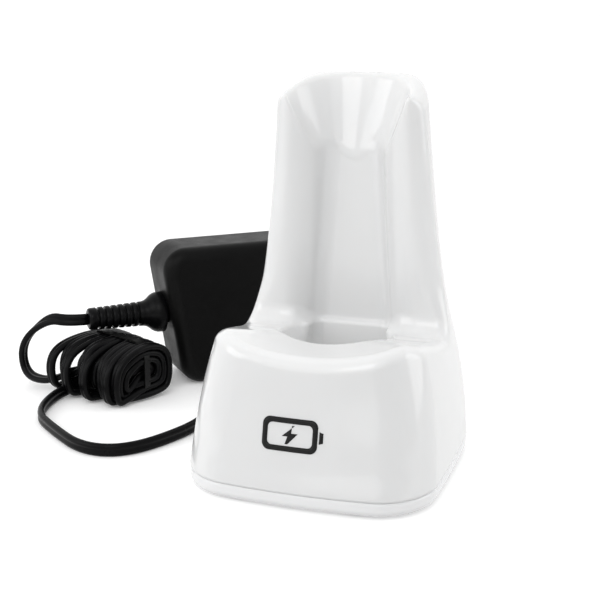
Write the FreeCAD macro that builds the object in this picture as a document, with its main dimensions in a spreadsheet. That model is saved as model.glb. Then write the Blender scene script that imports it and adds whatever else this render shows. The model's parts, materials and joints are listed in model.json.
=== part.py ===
import FreeCAD, Part
import math
import os
import re
import Sketcher
from FreeCAD import Placement, Rotation, Vector

# Charging stand of a cordless dental curing light, with its wall adapter and lead.
# Millimetres. +Z is up, the front faces -Y, and +X is to the right for someone facing the front.
# The origin is on the table, under the middle of the stand's own box.

doc = FreeCAD.newDocument("charging_stand")
sheet = doc.addObject("Spreadsheet::Sheet", "Sizes")

# Driving dimensions: alias, value, what it is.
SIZES = [
    # outer shape of the moulded shell, section by section from the seam up
    ("seam", 6.0, "height of the seam between shell and bottom plate"),
    ("level_a", 6.0, "heights of the sections"), ("level_b", 20.0, ""), ("level_c", 36.0, ""),
    ("level_d", 54.0, ""), ("level_e", 80.0, ""), ("level_f", 108.0, ""), ("level_g", 138.0, ""),
    ("half_a", 42.7, "half widths of the sections"), ("half_b", 41.6, ""), ("half_c", 39.1, ""),
    ("half_d", 34.8, ""), ("half_e", 30.5, ""), ("half_f", 27.4, ""), ("half_g", 24.6, ""),
    ("front_a", 43.1, "front of the sections, ahead of the origin"), ("front_b", 39.2, ""),
    ("front_c", 35.4, ""), ("front_d", 32.0, ""), ("front_e", 29.0, ""), ("front_f", 26.0, ""),
    ("front_g", 23.0, ""),
    ("back_a", 43.1, "back of the sections, behind the origin"), ("back_b", 42.7, ""),
    ("back_c", 42.2, ""), ("back_d", 41.6, ""), ("back_e", 40.8, ""), ("back_f", 39.8, ""),
    ("back_g", 38.6, ""),
    ("corner_low", 16.5, "plan corner radius low down"), ("corner_high", 13.0, "and at the top"),
    ("front_bow", 4.2, "how far the front bows out"), ("side_bow", 1.6, "side and back bow"),
    ("wall", 2.4, "wall thickness of the shell"),
    # seat, trough, bowl and well
    ("lip_side", 53.0, "height of the block's front corners"),
    ("lip_middle", 47.5, "height of the lip's middle"),
    ("dish_radius", 102.0, "crosswise radius of the dished top"),
    ("foot_level", 45.0, "height of the platform at the backrest's foot"),
    ("wing_low", 17.3, "front of the backrest's sides at their foot"),
    ("wing_high", 12.4, "and at their top"),
    ("rim_front", 127.0, "height of the top rim at the front"),
    ("rim_back", 133.4, "and at the back"),
    ("panel", 25.8, "front face of the trough's flat panel"),
    ("panel_half_low", 13.4, "half width of the panel at the platform"),
    ("panel_half_mid", 10.2, "in the middle"), ("panel_half_high", 8.6, "at the top"),
    ("trough_slope", 0.5, "sideways flare of the trough's walls"),
    ("trough_reach", 18.0, "how far the walls run forward"),
    ("ledge", 1.8, "step between the panel and the well's rear wall"),
    ("bowl_low", 73.5, "apex height of the conical bowl"), ("bowl_top", 137.0, "height of its open end"),
    ("bowl_radius", 25.2, "radius of the bowl at bowl_top"),
    ("bowl_centre", 13.6, "axis of the bowl, behind the origin"),
    ("well_radius", 16.0, "round part of the handpiece well"),
    ("well_centre", 7.5, "axis of the well, behind the origin"),
    ("well_floor", 20.0, "height of the well's floor"),
    ("funnel_radius", 17.4, "mouth of the well"), ("funnel_drop", 5.0, "depth of the mouth's taper"),
    # bottom plate and feet
    ("foot_gap", 0.8, "height of the plate above the table"), ("plate_floor", 2.0, "its floor's thickness"),
    ("plate_inset", 0.3, "step at the seam"), ("plate_edge", 1.8, "rounding of the lower edge"),
    ("plate_wall", 2.2, "thickness of the plate's rim"),
    ("foot_radius", 4.5, "rubber feet"), ("foot_height", 1.6, ""),
    ("boss_radius", 3.5, "screw bosses in the shell"), ("pilot_radius", 1.2, "and their holes"),
    ("boss_front_across", 29.0, "where the front bosses stand"), ("boss_front_ahead", 26.5, ""),
    ("boss_rear_across", 33.0, "where the rear bosses stand"), ("boss_rear_behind", 23.0, ""),
    ("boss_rear_top", 34.0, "height of the rear bosses"),
    ("screw_radius", 1.35, "screws that hold shell and plate together"), ("screw_head", 2.8, ""),
    ("screw_length", 13.0, ""),
    # electronics
    ("board_level", 8.5, "underside of the circuit board"), ("board_thick", 1.6, ""),
    ("board_half", 26.0, "reach of the board from the origin"), ("board_front", 9.0, ""),
    ("board_back", 36.0, ""),
    ("standoff_across", 22.5, "where the board's standoffs stand"), ("standoff_front", 5.5, ""),
    ("standoff_back", 31.0, ""),
    ("plug_level", 15.6, "height of the socket's axis"),
    # contact pins
    ("pin_across", 5.0, "half the distance between the two contacts"), ("pin_radius", 1.2, ""),
    ("pin_proud", 2.4, "how far a contact stands above the well's floor"),
    ("flange_radius", 1.9, "shoulder that holds a contact in"), ("flange_thick", 0.8, ""),
    ("carrier_top_thick", 1.5, "top of the contact block"), ("chamber_radius", 2.2, "room for a spring"),
    ("running", 0.06, "clearance round a contact in its guide"),
    ("spring_wire", 0.4, "wire of the contact springs"), ("spring_radius", 1.45, "mean radius of a coil"),
    ("spring_turns", 5.0, ""),
    # adapter, in its own axes: length along its case, thickness across, standing on a narrow side
    ("adapter_angle", 42.0, "direction of its length, degrees from +X"),
    ("adapter_across", -99.2, "origin of its axes"), ("adapter_behind", 63.9, ""),
    ("case_length", 80.0, "size of the case"), ("case_thick", 29.0, ""), ("case_height", 58.0, ""),
    ("case_start_low", 11.0, "left end at the table"), ("case_start_high", 2.0, "and at the top"),
    ("case_corner", 9.5, "corners seen from the front"), ("case_edge", 5.5, "edges round both faces"),
    ("case_wall", 2.2, "wall thickness"),
    ("supply_level", 3.0, "front of the supply's board"), ("blade_reach", 17.0, "blade length outside"),
    ("relief_level", 29.5, "height of the strain relief's axis"),
    ("relief_tip", -26.0, "its free end, on the adapter's axes"),
    ("relief_root", 5.5, "where its collar meets the case"),
    ("relief_radius", 5.0, "radius at the case"), ("relief_tip_radius", 4.3, "and at the free end"),
    ("relief_collar", 8.5, ""),
    # lead
    ("cord", 4.8, "width of the flat twin lead"), ("plug_end", 70.0, "end of the plug's boot"),
    ("hank_height", 23.6, "top of the bundle"), ("hank_clear", 1.0, "its underside"),
    ("hank_round", 7.0, "rounding of the bundle"),
    ("tie_thick", 0.7, "band round the bundle"), ("tie_width", 3.0, ""),
]

for row, (alias, value, note) in enumerate(SIZES, start=1):
    sheet.set("A%d" % row, alias)
    sheet.set("B%d" % row, str(value))
    sheet.set("C%d" % row, note)
    sheet.setAlias("B%d" % row, alias)
doc.recompute()

ALIASES = {alias for alias, value, note in SIZES}
NODES = []


def s(alias):
    """Value of a driving dimension, in millimetres or degrees."""
    return float(sheet.get(alias))


def bound(formula):
    """A formula over aliases, as an expression that other objects understand."""
    return re.sub(r"[a-z_]+[a-z]", lambda w: "Sizes." + w[0] if w[0] in ALIASES else w[0], formula)


def number(formula):
    """Value of a formula over aliases."""
    return float(sheet.evalExpression(formula))


def node(obj, label):
    """Name a finished piece and list it for export."""
    obj.Label = label
    NODES.append(obj)
    return obj


def new_body(name):
    return doc.addObject("PartDesign::Body", name)


def origin_plane(body, role):
    return next(f for f in body.Origin.OriginFeatures if f.Role == role)


def new_sketch(body, name, role, offset=None):
    """A sketch on one of the body's own origin planes, lifted off it by a formula."""
    sketch = body.newObject("Sketcher::SketchObject", name)
    sketch.AttachmentSupport = (origin_plane(body, role), [""])
    sketch.MapMode = "FlatFace"
    if offset is not None:
        sketch.setExpression("AttachmentOffset.Base.z", bound(offset))
    return sketch


def hold(sketch, kind, first, second, formula, name):
    """A distance between two points or a radius, driven by a formula of either sign."""
    value = number(formula)
    if kind == "Radius":
        index = sketch.addConstraint(Sketcher.Constraint(kind, first, value))
    elif value < 0:
        index = sketch.addConstraint(Sketcher.Constraint(kind, *second, *first, -value))
        formula = "-(" + formula + ")"
    else:
        index = sketch.addConstraint(Sketcher.Constraint(kind, *first, *second, value))
    sketch.renameConstraint(index, name)
    sketch.setExpression("Constraints." + name, bound(formula))


def fix_point(sketch, geometry, corner, across, along, name):
    """Place a point of the sketch from its origin by two formulas."""
    for kind, formula, axis in (("DistanceX", across, -2), ("DistanceY", along, -1)):
        if abs(number(formula)) < 1e-9:
            sketch.addConstraint(Sketcher.Constraint("PointOnObject", geometry, corner, axis))
        else:
            hold(sketch, kind, (-1, 1), (geometry, corner), formula, name + kind[-1])


def polygon(body, name, role, points, offset=None):
    """A closed polygon whose corners are pairs of formulas."""
    sketch = new_sketch(body, name, role, offset)
    spots = [Vector(number(a), number(b), 0) for a, b in points]
    count = len(spots)
    for i in range(count):
        sketch.addGeometry(Part.LineSegment(spots[i], spots[(i + 1) % count]), False)
    for i in range(count):
        sketch.addConstraint(Sketcher.Constraint("Coincident", i, 2, (i + 1) % count, 1))
    for i, (a, b) in enumerate(points):
        fix_point(sketch, i, 1, a, b, "corner%d" % i)
    return sketch


def circle(body, name, role, across, along, radius, offset=None):
    sketch = new_sketch(body, name, role, offset)
    centre = Vector(number(across), number(along), 0)
    sketch.addGeometry(Part.Circle(centre, Vector(0, 0, 1), number(radius)), False)
    fix_point(sketch, 0, 3, across, along, "centre")
    hold(sketch, "Radius", 0, None, radius, "radius")
    return sketch


def bowed_section(body, name, level, half, front, back, corner):
    """Plan section: a rounded rectangle whose four sides are arcs, tangent to its corner arcs."""
    sketch = new_sketch(body, name, "XY_Plane", level)
    middle = "((" + back + ") - (" + front + ")) / 2"
    depth = "((" + back + ") + (" + front + ")) / 2"
    front_radius = "((" + half + ") ^ 2 + front_bow ^ 2) / (2 * front_bow)"
    side_radius = "((" + depth + ") ^ 2 + side_bow ^ 2) / (2 * side_bow)"
    back_radius = "((" + half + ") ^ 2 + side_bow ^ 2) / (2 * side_bow)"
    rf, rs, rb, rc = (number(f) for f in (front_radius, side_radius, back_radius, corner))
    centre_front = (0.0, -number(front) + rf)
    centre_back = (0.0, number(back) - rb)
    centre_side = (number(half) - rs, number(middle))

    def meet(first, first_reach, second, second_reach, side):
        """Where two circles cross, on the right, at the front (side -1) or the back (+1)."""
        dx, dy = second[0] - first[0], second[1] - first[1]
        gap = math.hypot(dx, dy)
        along = (first_reach ** 2 - second_reach ** 2 + gap ** 2) / (2 * gap)
        off = math.sqrt(max(first_reach ** 2 - along ** 2, 0.0))
        base = (first[0] + along * dx / gap, first[1] + along * dy / gap)
        spots = [(base[0] + t * off * dy / gap, base[1] - t * off * dx / gap) for t in (1, -1)]
        return max(spots, key=lambda p: p[0] + side * p[1])

    corner_front = meet(centre_front, rf - rc, centre_side, rs - rc, -1)
    corner_back = meet(centre_back, rb - rc, centre_side, rs - rc, 1)

    def angle(centre, spot):
        return math.atan2(spot[1] - centre[1], spot[0] - centre[0])

    a_front = angle(centre_front, corner_front)
    a_side_low = angle(centre_side, corner_front)
    a_side_high = angle(centre_side, corner_back)
    a_back = angle(centre_back, corner_back)
    left_side = (-centre_side[0], centre_side[1])
    left_front = (-corner_front[0], corner_front[1])
    left_back = (-corner_back[0], corner_back[1])
    arcs = [
        (centre_front, rf, math.pi - a_front, a_front),
        (corner_front, rc, a_front, a_side_low),
        (centre_side, rs, a_side_low, a_side_high),
        (corner_back, rc, a_side_high, a_back),
        (centre_back, rb, a_back, math.pi - a_back),
        (left_back, rc, math.pi - a_back, math.pi - a_side_high),
        (left_side, rs, math.pi - a_side_high, math.pi - a_side_low),
        (left_front, rc, math.pi - a_side_low, math.pi - a_front),
    ]
    for centre, radius, start, end in arcs:
        if centre is centre_front:
            start = -math.pi - a_front
        ring = Part.Circle(Vector(centre[0], centre[1], 0), Vector(0, 0, 1), radius)
        sketch.addGeometry(Part.ArcOfCircle(ring, start, end), False)
    for i in range(8):
        sketch.addConstraint(Sketcher.Constraint("Tangent", i, 2, (i + 1) % 8, 1))
    for i in (1, 3, 5, 7):
        hold(sketch, "Radius", i, None, corner, "corner%d" % i)
    hold(sketch, "Radius", 0, None, front_radius, "front")
    hold(sketch, "Radius", 2, None, side_radius, "right")
    hold(sketch, "Radius", 4, None, back_radius, "back")
    hold(sketch, "Radius", 6, None, side_radius, "left")
    fix_point(sketch, 0, 3, "0", "-(" + front + ") + " + front_radius, "frontcentre")
    fix_point(sketch, 4, 3, "0", back + " - " + back_radius, "backcentre")
    fix_point(sketch, 2, 3, "(" + half + ") - " + side_radius, middle, "rightcentre")
    fix_point(sketch, 6, 3, "-(" + half + ") + " + side_radius, middle, "leftcentre")
    return sketch


def loft(body, kind, name, sections, ruled=False):
    feature = body.newObject("PartDesign::" + kind + "Loft", name)
    feature.Profile = (sections[0], [""])
    feature.Sections = [(sketch, [""]) for sketch in sections[1:]]
    feature.Ruled = ruled
    return feature


def primitive(body, kind, name, sizes, place, rotation=None):
    """An additive or subtractive primitive of a body: sizes and place are formulas."""
    feature = body.newObject("PartDesign::" + kind, name)
    if rotation is not None:
        feature.Placement = Placement(Vector(0, 0, 0), rotation)
    for prop, formula in sizes.items():
        feature.setExpression(prop, bound(formula))
    for axis, formula in zip("xyz", place):
        feature.setExpression("Placement.Base." + axis, bound(formula))
    return feature


FACE_BACK = Rotation(Vector(1, 0, 0), -90)      # turns a primitive's own +Z to +Y
ALONG_FRONT = Rotation(Vector(1, 0, 0), 90)     # to -Y
ALONG_X = Rotation(Vector(0, 1, 0), 90)         # to +X
BLADES = ("case_start_low + case_length / 2 - 7.1", "case_start_low + case_length / 2 + 5.6")


def shell_form(name, inset):
    """The shell's outer form, or with an inset the room inside its walls."""
    body = new_body(name)
    levels = []
    for key in "abcdefg":
        t = (s("level_" + key) - s("level_a")) / (s("level_g") - s("level_a"))
        corner = "corner_low + (corner_high - corner_low) * %.4f - %s" % (t, inset)
        level = "level_" + key
        if key == "a" and inset != "0":
            level = "level_a - 1"
        levels.append(bowed_section(body, name + "_section_" + key, level, "half_" + key + " - " + inset,
                                    "front_" + key + " - " + inset, "back_" + key + " - " + inset, corner))
    loft(body, "Additive", name + "_loft", levels)

    seat = [("-27", "lip_side"), ("8", "foot_level"), ("14", "foot_level + 1.5"),
            ("wing_low", "foot_level + 7"), ("wing_high", "rim_front"), ("46", "rim_back + 0.6")]
    line = [("-80", "lip_side - " + inset)]
    line += [(y + " + " + inset, z + " - " + inset) for y, z in seat]
    line += [("80", "rim_back - " + inset), ("80", "200"), ("-80", "200")]
    cut_line = polygon(body, name + "_seat_line", "YZ_Plane", line)
    pocket = body.newObject("PartDesign::Pocket", name + "_seat")
    pocket.Profile = cut_line
    pocket.Type = 1
    pocket.Midplane = True

    primitive(body, "SubtractiveCylinder", name + "_dish",
              {"Radius": "dish_radius + " + inset, "Height": "70 + " + inset},
              ("0", "-64", "lip_middle + dish_radius"), FACE_BACK)

    def throat_section(tag, level, half):
        """The well's rear part: flat at the back, as wide as the round part further forward."""
        rear, side = half + " + " + inset, half + " + 2.6 + " + inset
        right = [(rear, "panel - ledge + " + inset), (side, "14"), (side, "8")]
        left = [("-(" + x + ")", y) for x, y in reversed(right)]
        return polygon(body, name + "_" + tag, "XY_Plane", right + left, level)

    def trough_section(tag, level, half):
        """The trough: a flat panel between side walls that flare towards the front."""
        rear = half + " + " + inset
        side = rear + " + trough_slope * trough_reach"
        right = [(rear, "panel + " + inset), (side, "panel - trough_reach")]
        left = [("-(" + x + ")", y) for x, y in reversed(right)]
        return polygon(body, name + "_" + tag, "XY_Plane", right + left, level)

    loft(body, "Subtractive", name + "_throat",
         [throat_section("throat_low", "well_floor - " + inset, "panel_half_low"),
          throat_section("throat_high", "lip_side + 1", "panel_half_low - 0.8")], True)
    loft(body, "Subtractive", name + "_trough",
         [trough_section("trough_low", "foot_level + 1 - " + inset, "panel_half_low"),
          trough_section("trough_mid", "85", "panel_half_mid"),
          trough_section("trough_high", "115", "panel_half_high"),
          trough_section("trough_top", "150", "panel_half_high")], True)
    primitive(body, "SubtractiveCylinder", name + "_well",
              {"Radius": "well_radius + " + inset, "Height": "60"},
              ("0", "well_centre", "well_floor - " + inset))
    primitive(body, "SubtractiveCone", name + "_funnel",
              {"Radius1": "well_radius + " + inset, "Radius2": "funnel_radius + " + inset,
               "Height": "funnel_drop"},
              ("0", "well_centre", "foot_level - funnel_drop + 1"))
    primitive(body, "SubtractiveCone", name + "_bowl",
              {"Radius1": "0.5 + " + inset, "Radius2": "bowl_radius + " + inset,
               "Height": "bowl_top - bowl_low"},
              ("0", "bowl_centre", "bowl_low"))
    return body


def cylinder(name, radius, height, place, rotation=None):
    """A Part cylinder whose sizes and place are formulas."""
    obj = doc.addObject("Part::Cylinder", name)
    if rotation is not None:
        obj.Placement = Placement(Vector(0, 0, 0), rotation)
    obj.setExpression("Radius", bound(radius))
    obj.setExpression("Height", bound(height))
    for axis, formula in zip("xyz", place):
        obj.setExpression("Placement.Base." + axis, bound(formula))
    return obj


def box(name, low, size):
    """A Part box from its lowest corner and its size, all formulas."""
    obj = doc.addObject("Part::Box", name)
    for prop, formula in zip(("Length", "Width", "Height"), size):
        obj.setExpression(prop, bound(formula))
    for axis, formula in zip("xyz", low):
        obj.setExpression("Placement.Base." + axis, bound(formula))
    return obj


def cut(name, base, tool):
    obj = doc.addObject("Part::Cut", name)
    obj.Base, obj.Tool = base, tool
    return obj


def fuse(name, pieces):
    obj = doc.addObject("Part::MultiFuse", name)
    obj.Shapes = pieces
    return obj


def group(name, pieces):
    """Separate identical solids kept as one piece of the list."""
    obj = doc.addObject("Part::Compound", name)
    obj.Links = pieces
    return obj


def turned(name, points, role="XZ_Plane", axis="V_Axis"):
    """A body revolved from a closed half profile of (radius, height) formulas."""
    body = new_body(name)
    profile = polygon(body, name + "_profile", role, points)
    spin = body.newObject("PartDesign::Revolution", name + "_spin")
    spin.Profile = profile
    spin.ReferenceAxis = (profile, [axis])
    spin.Angle = 360
    return body


def screws(name, spots, radius, head, length, level, head_thick, upward):
    """Pan-head screws: heads at level, shanks pointing up (or down), one turned solid each."""
    sign = "" if upward else "-"
    made = []
    for i, (across, along) in enumerate(spots):
        points = [("0", "0"), (head, "0"), (head, sign + head_thick), (radius, sign + head_thick),
                  (radius, sign + "(" + length + ")"), ("0", sign + "(" + length + ")")]
        screw = turned("%s_%d" % (name, i), points)
        for axis, formula in zip("xyz", (across, along, level)):
            screw.setExpression("Placement.Base." + axis, bound(formula))
        made.append(screw)
    return group(name, made)


def round_edges(body, name, radius, chosen):
    """Fillet the edges of the body's tip that pass a test."""
    doc.recompute()
    tip = body.Tip
    names = ["Edge%d" % (i + 1) for i, edge in enumerate(tip.Shape.Edges) if chosen(edge)]
    fillet = body.newObject("PartDesign::Fillet", name)
    fillet.Base = (tip, names)
    fillet.setExpression("Radius", bound(radius))
    doc.recompute()
    return fillet


# ---------------------------------------------------------------- shell

BOSSES = [(side + "boss_front_across", "-boss_front_ahead") for side in ("", "-")]
BOSSES += [(side + "boss_rear_across", "boss_rear_behind") for side in ("", "-")]


def upper_shell():
    """One white moulding: the outer form less the room inside, which leaves bosses and ribs standing."""
    outer = shell_form("shell_outer", "0")
    room = shell_form("shell_room", "wall")
    for i, (across, along) in enumerate(BOSSES):
        top = "lip_side" if i < 2 else "boss_rear_top"
        primitive(room, "SubtractiveCylinder", "boss_%d" % i,
                  {"Radius": "boss_radius", "Height": top + " - seam"}, (across, along, "seam"))
    for i, low in enumerate(("boss_rear_across", "-half_a")):
        primitive(room, "SubtractiveBox", "rib_%d" % i,
                  {"Length": "half_a - boss_rear_across", "Width": "1.6",
                   "Height": "boss_rear_top - 10 - seam"},
                  (low, "boss_rear_behind - 0.8", "seam + 8"))
    for i, (across, along) in enumerate(BOSSES):
        primitive(room, "AdditiveCylinder", "pilot_%d" % i, {"Radius": "pilot_radius", "Height": "15"},
                  (across, along, "seam - 1"))
    primitive(room, "AdditiveCylinder", "socket_hole", {"Radius": "4.9", "Height": "12"},
              ("0", "back_a - 7", "plug_level"), FACE_BACK)
    for i, side in enumerate(("", "-")):
        primitive(room, "AdditiveCylinder", "contact_hole_%d" % i,
                  {"Radius": "pin_radius + 0.4", "Height": "wall + 2"},
                  (side + "pin_across", "well_centre", "well_floor - wall - 1"))
    return node(cut("shell", outer, room), "upper_shell")


def bottom_plate():
    """A shallow tray with a rounded lower edge, screw pillars and board standoffs."""
    body = new_body("plate")

    def ring(tag, level, inset):
        return bowed_section(body, "plate_" + tag, level, "half_a - " + inset, "front_a - " + inset,
                             "back_a - " + inset, "corner_low - " + inset)

    loft(body, "Additive", "plate_rim",
         [ring("bottom", "foot_gap", "(plate_inset + plate_edge)"),
          ring("edge", "foot_gap + plate_edge", "plate_inset"),
          ring("top", "seam - 0.05", "plate_inset")], True)
    inner = "(plate_inset + plate_wall)"
    loft(body, "Subtractive", "plate_tray",
         [ring("floor", "foot_gap + plate_floor", inner), ring("open", "seam + 1", inner)], True)
    for i, (across, along) in enumerate(BOSSES):
        place = (across, along, "foot_gap")
        primitive(body, "AdditiveCylinder", "pillar_%d" % i,
                  {"Radius": "4.4", "Height": "seam - foot_gap - 0.1"}, place)
        primitive(body, "SubtractiveCylinder", "recess_%d" % i,
                  {"Radius": "screw_head + 0.4", "Height": "2.6"}, place)
        primitive(body, "SubtractiveCylinder", "clear_%d" % i,
                  {"Radius": "screw_radius + 0.25", "Height": "9"}, place)
    for i, (across, along) in enumerate(STANDOFFS):
        primitive(body, "AdditiveCylinder", "standoff_%d" % i,
                  {"Radius": "2.8", "Height": "board_level - foot_gap - 1"}, (across, along, "foot_gap + 1"))
        primitive(body, "SubtractiveCylinder", "tapped_%d" % i, {"Radius": "0.9", "Height": "6"},
                  (across, along, "board_level - 5"))
    for i, (across, along) in enumerate(FEET):
        primitive(body, "SubtractiveCylinder", "foot_seat_%d" % i,
                  {"Radius": "foot_radius + 0.1", "Height": "0.8"}, (across, along, "foot_gap"))
    primitive(body, "SubtractiveBox", "label_seat", {"Length": "34", "Width": "22", "Height": "0.25"},
              ("-17", "-11", "foot_gap"))
    return node(body, "bottom_plate")


STANDOFFS = [(side + "standoff_across", along) for side in ("", "-")
             for along in ("-standoff_front", "standoff_back")]
FEET = [(side + "19", along) for side in ("", "-") for along in ("-33", "33.5")]


def rubber_feet():
    pads = [cylinder("foot_%d" % i, "foot_radius", "foot_height", (across, along, "0"))
            for i, (across, along) in enumerate(FEET)]
    return node(group("feet", pads), "rubber_feet")


def plate_trim():
    """Screws, feet, blank rating label and the steel weight that keeps the stand from tipping."""
    rubber_feet()
    node(screws("plate_screws", BOSSES, "screw_radius - 0.2", "screw_head", "screw_length",
                "foot_gap + 0.7", "1.9", True), "shell_screws")
    node(box("label", ("-16.5", "-10.5", "foot_gap + 0.05"), ("33", "21", "0.2")), "rating_label")
    weight = new_body("weight")
    primitive(weight, "AdditiveBox", "weight_block", {"Length": "44", "Width": "22", "Height": "7"},
              ("-22", "-35", "foot_gap + plate_floor"))
    round_edges(weight, "weight_corners", "3", lambda e: abs(e.tangentAt(e.FirstParameter).z) > 0.9)
    node(weight, "ballast_weight")


# ---------------------------------------------------------------- electronics

def circuit_board():
    board = new_body("board")
    primitive(board, "AdditiveBox", "board_panel",
              {"Length": "2 * board_half", "Width": "board_front + board_back", "Height": "board_thick"},
              ("-board_half", "-board_front", "board_level"))
    for i, (across, along) in enumerate(STANDOFFS):
        primitive(board, "SubtractiveCylinder", "board_hole_%d" % i, {"Radius": "1.2", "Height": "5"},
                  (across, along, "board_level - 1"))
    node(board, "circuit_board")
    node(screws("board_fixings", STANDOFFS, "0.85", "1.9", "6",
                "board_level + board_thick + 1.2", "1.2", False), "board_screws")


def power_socket():
    """Barrel socket behind the rear wall, with its own centre pin."""
    top = "board_level + board_thick"
    housing = box("socket_block", ("-4.5", "28.6", top), ("9", "11", "10.6"))
    bore = cylinder("socket_bore", "3.1", "10", ("0", "30.3", "plug_level"), FACE_BACK)
    node(cut("socket", housing, bore), "power_socket")
    node(cylinder("socket_pin", "1", "8.5", ("0", "30.3", "plug_level"), FACE_BACK), "socket_centre_pin")


def board_parts():
    top = "board_level + board_thick"
    choke = turned("choke", [("0", "0"), ("3.2", "0"), ("3.2", "1"), ("2.8", "1"), ("2.8", "6"), ("3.2", "6"),
                             ("3.2", "7"), ("0", "7")])
    for axis, formula in zip("xyz", ("-22.4", "13", top)):
        choke.setExpression("Placement.Base." + axis, bound(formula))
    node(choke, "charge_coil")
    can = turned("can", [("0", "0"), ("3.1", "0"), ("3.1", "0.9"), ("2.8", "1.3"), ("3.1", "1.7"),
                         ("3.1", "6.6"), ("2.7", "7"), ("0", "7")])
    for axis, formula in zip("xyz", ("22.4", "13", top)):
        can.setExpression("Placement.Base." + axis, bound(formula))
    node(can, "smoothing_capacitor")
    node(box("chip", ("-15", "19", top), ("6", "5", "1.5")), "charge_controller")


def contact_block():
    """Insulating block under the well's floor that guides the two contact pins."""
    top = "well_floor - wall - 0.1"
    low = "board_level + board_thick"
    body = new_body("carrier")
    height = top + " - (" + low + ")"
    primitive(body, "AdditiveBox", "carrier_block", {"Length": "20", "Width": "9", "Height": height},
              ("-10", "well_centre - 4.5", low))
    for i, side in enumerate(("", "-")):
        place = (side + "pin_across", "well_centre", low + " - 1")
        primitive(body, "SubtractiveCylinder", "chamber_%d" % i,
                  {"Radius": "chamber_radius", "Height": height + " - carrier_top_thick + 1"}, place)
        primitive(body, "SubtractiveCylinder", "guide_%d" % i,
                  {"Radius": "pin_radius + running", "Height": "12"}, place)
    node(body, "contact_carrier")
    shoulder = "well_floor - wall - 0.1 - carrier_top_thick - 0.05"
    for label, side in (("left", "-"), ("right", "")):
        reach = "well_floor + pin_proud - (" + shoulder + ")"
        pin = turned("pin_" + label,
                     [("0", "-flange_thick"), ("flange_radius", "-flange_thick"), ("flange_radius", "0"),
                      ("pin_radius", "0"), ("pin_radius", reach + " - 0.7"), ("pin_radius - 0.5", reach),
                      ("0", reach)])
        for axis, formula in zip("xyz", (side + "pin_across", "well_centre", shoulder)):
            pin.setExpression("Placement.Base." + axis, bound(formula))
        node(pin, "contact_pin_" + label)
        contact_spring(label, side, low, shoulder + " - flange_thick")


def contact_spring(label, side, low, high):
    """Compression spring from the board to the pin's flange."""
    body = new_body("spring_" + label)
    section = circle(body, "wire_" + label, "XZ_Plane", "spring_radius", "spring_wire / 2 + 0.01",
                     "spring_wire / 2")
    coil = body.newObject("PartDesign::AdditiveHelix", "coil_" + label)
    coil.Profile = section
    coil.ReferenceAxis = (section, ["V_Axis"])
    coil.Mode = "pitch-turns-angle"
    coil.setExpression("Turns", bound("spring_turns"))
    free = "(" + high + ") - (" + low + ")"
    coil.setExpression("Pitch", bound("(" + free + " - spring_wire - 0.02) / spring_turns"))
    for axis, formula in zip("xyz", (side + "pin_across", "well_centre", low)):
        body.setExpression("Placement.Base." + axis, bound(formula))
    node(body, "contact_spring_" + label)


# ---------------------------------------------------------------- lead and plug

# The lead as it lies, corner by corner; smooth_path rounds each corner with the largest arc that fits.
ROUTE_FRONT = [(0, 70, 15.6), (0, 79.5, 15.6), (-2, 90, 10.5), (-11, 98, 4.5), (-25, 97, 2.4),
               (-37.5, 86, 2.4), (-48, 67, 2.4), (-54, 45, 2.4), (-56.7, 23.5, 2.4), (-58.3, 6.9, 2.4),
               (-69.4, -17.2, 2.4), (-86, -21, 2.4), (-106.2, -6.2, 2.4), (-119.7, 5.6, 2.4),
               (-125.2, 28.5, 2.4), (-119.8, 43, 3.2)]
ROUTE_BACK = [(-113.5, 42.5, 12.5), (-122.5, 38, 8.8), (-133, 35.8, 4.6), (-146.8, 42.2, 4.7),
              (-147.4, 41.9, 18.7), (-134.4, 42, 30.1), (-125, 41.4, 29.5), (-118.6, 46.5, 29.5)]


def smooth_path(points):
    """Straight runs joined by tangent arcs; also the radius of each arc."""
    spots = [Vector(*p) for p in points]
    edges = []
    radii = []
    start = spots[0]
    for before, here, after in zip(spots, spots[1:], spots[2:]):
        back, ahead = before - here, after - here
        turn = math.pi - back.getAngle(ahead)
        reach = 0.45 * min(back.Length, ahead.Length)
        radii.append(reach / math.tan(turn / 2))
        back.normalize()
        ahead.normalize()
        enter, leave = here + back * reach, here + ahead * reach
        inward = back + ahead
        inward.normalize()
        middle = here + inward * (radii[-1] / math.cos(turn / 2) - radii[-1])
        edges.append(Part.LineSegment(start, enter).toShape())
        edges.append(Part.Arc(enter, middle, leave).toShape())
        start = leave
    edges.append(Part.LineSegment(start, spots[-1]).toShape())
    return Part.Wire(edges), radii


def cord_tube(label, route):
    path, radii = smooth_path(route)
    first = path.Edges[0]
    circle_edge = Part.makeCircle(s("cord") / 2, first.Vertexes[0].Point,
                                  first.tangentAt(first.FirstParameter))
    tube = doc.addObject("Part::Feature", label + "_tube")
    tube.Shape = path.makePipeShell([Part.Wire(circle_edge)], True, False)
    ideal = math.pi * s("cord") ** 2 / 4 * path.Length
    print("%s: length %.0f mm, volume / ideal %.4f, radii %s"
          % (label, path.Length, tube.Shape.Volume / ideal, " ".join("%.0f" % r for r in radii)))
    return node(tube, label)


def plug():
    """Straight barrel plug: metal sleeve in the socket, moulded grip and tapered boot behind the stand."""
    sleeve = cut("sleeve", cylinder("sleeve_outside", "2.75", "13.2", ("0", "31.5", "plug_level"), FACE_BACK),
                 cylinder("sleeve_inside", "1.25", "10", ("0", "31", "plug_level"), FACE_BACK))
    node(sleeve, "plug_sleeve")
    grip = turned("plug_grip", [("0", "44.7"), ("4.4", "44.7"), ("4.4", "45.6"), ("4.9", "46.2"),
                                ("4.9", "55"), ("4.4", "56.5"), ("3.9", "57.4"), ("3.6", "62"),
                                ("3.0", "plug_end"), ("0", "plug_end")], "XY_Plane")
    grip.setExpression("Placement.Base.z", bound("plug_level"))
    node(grip, "plug_grip")


# ---------------------------------------------------------------- adapter, built on its own axes

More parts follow.
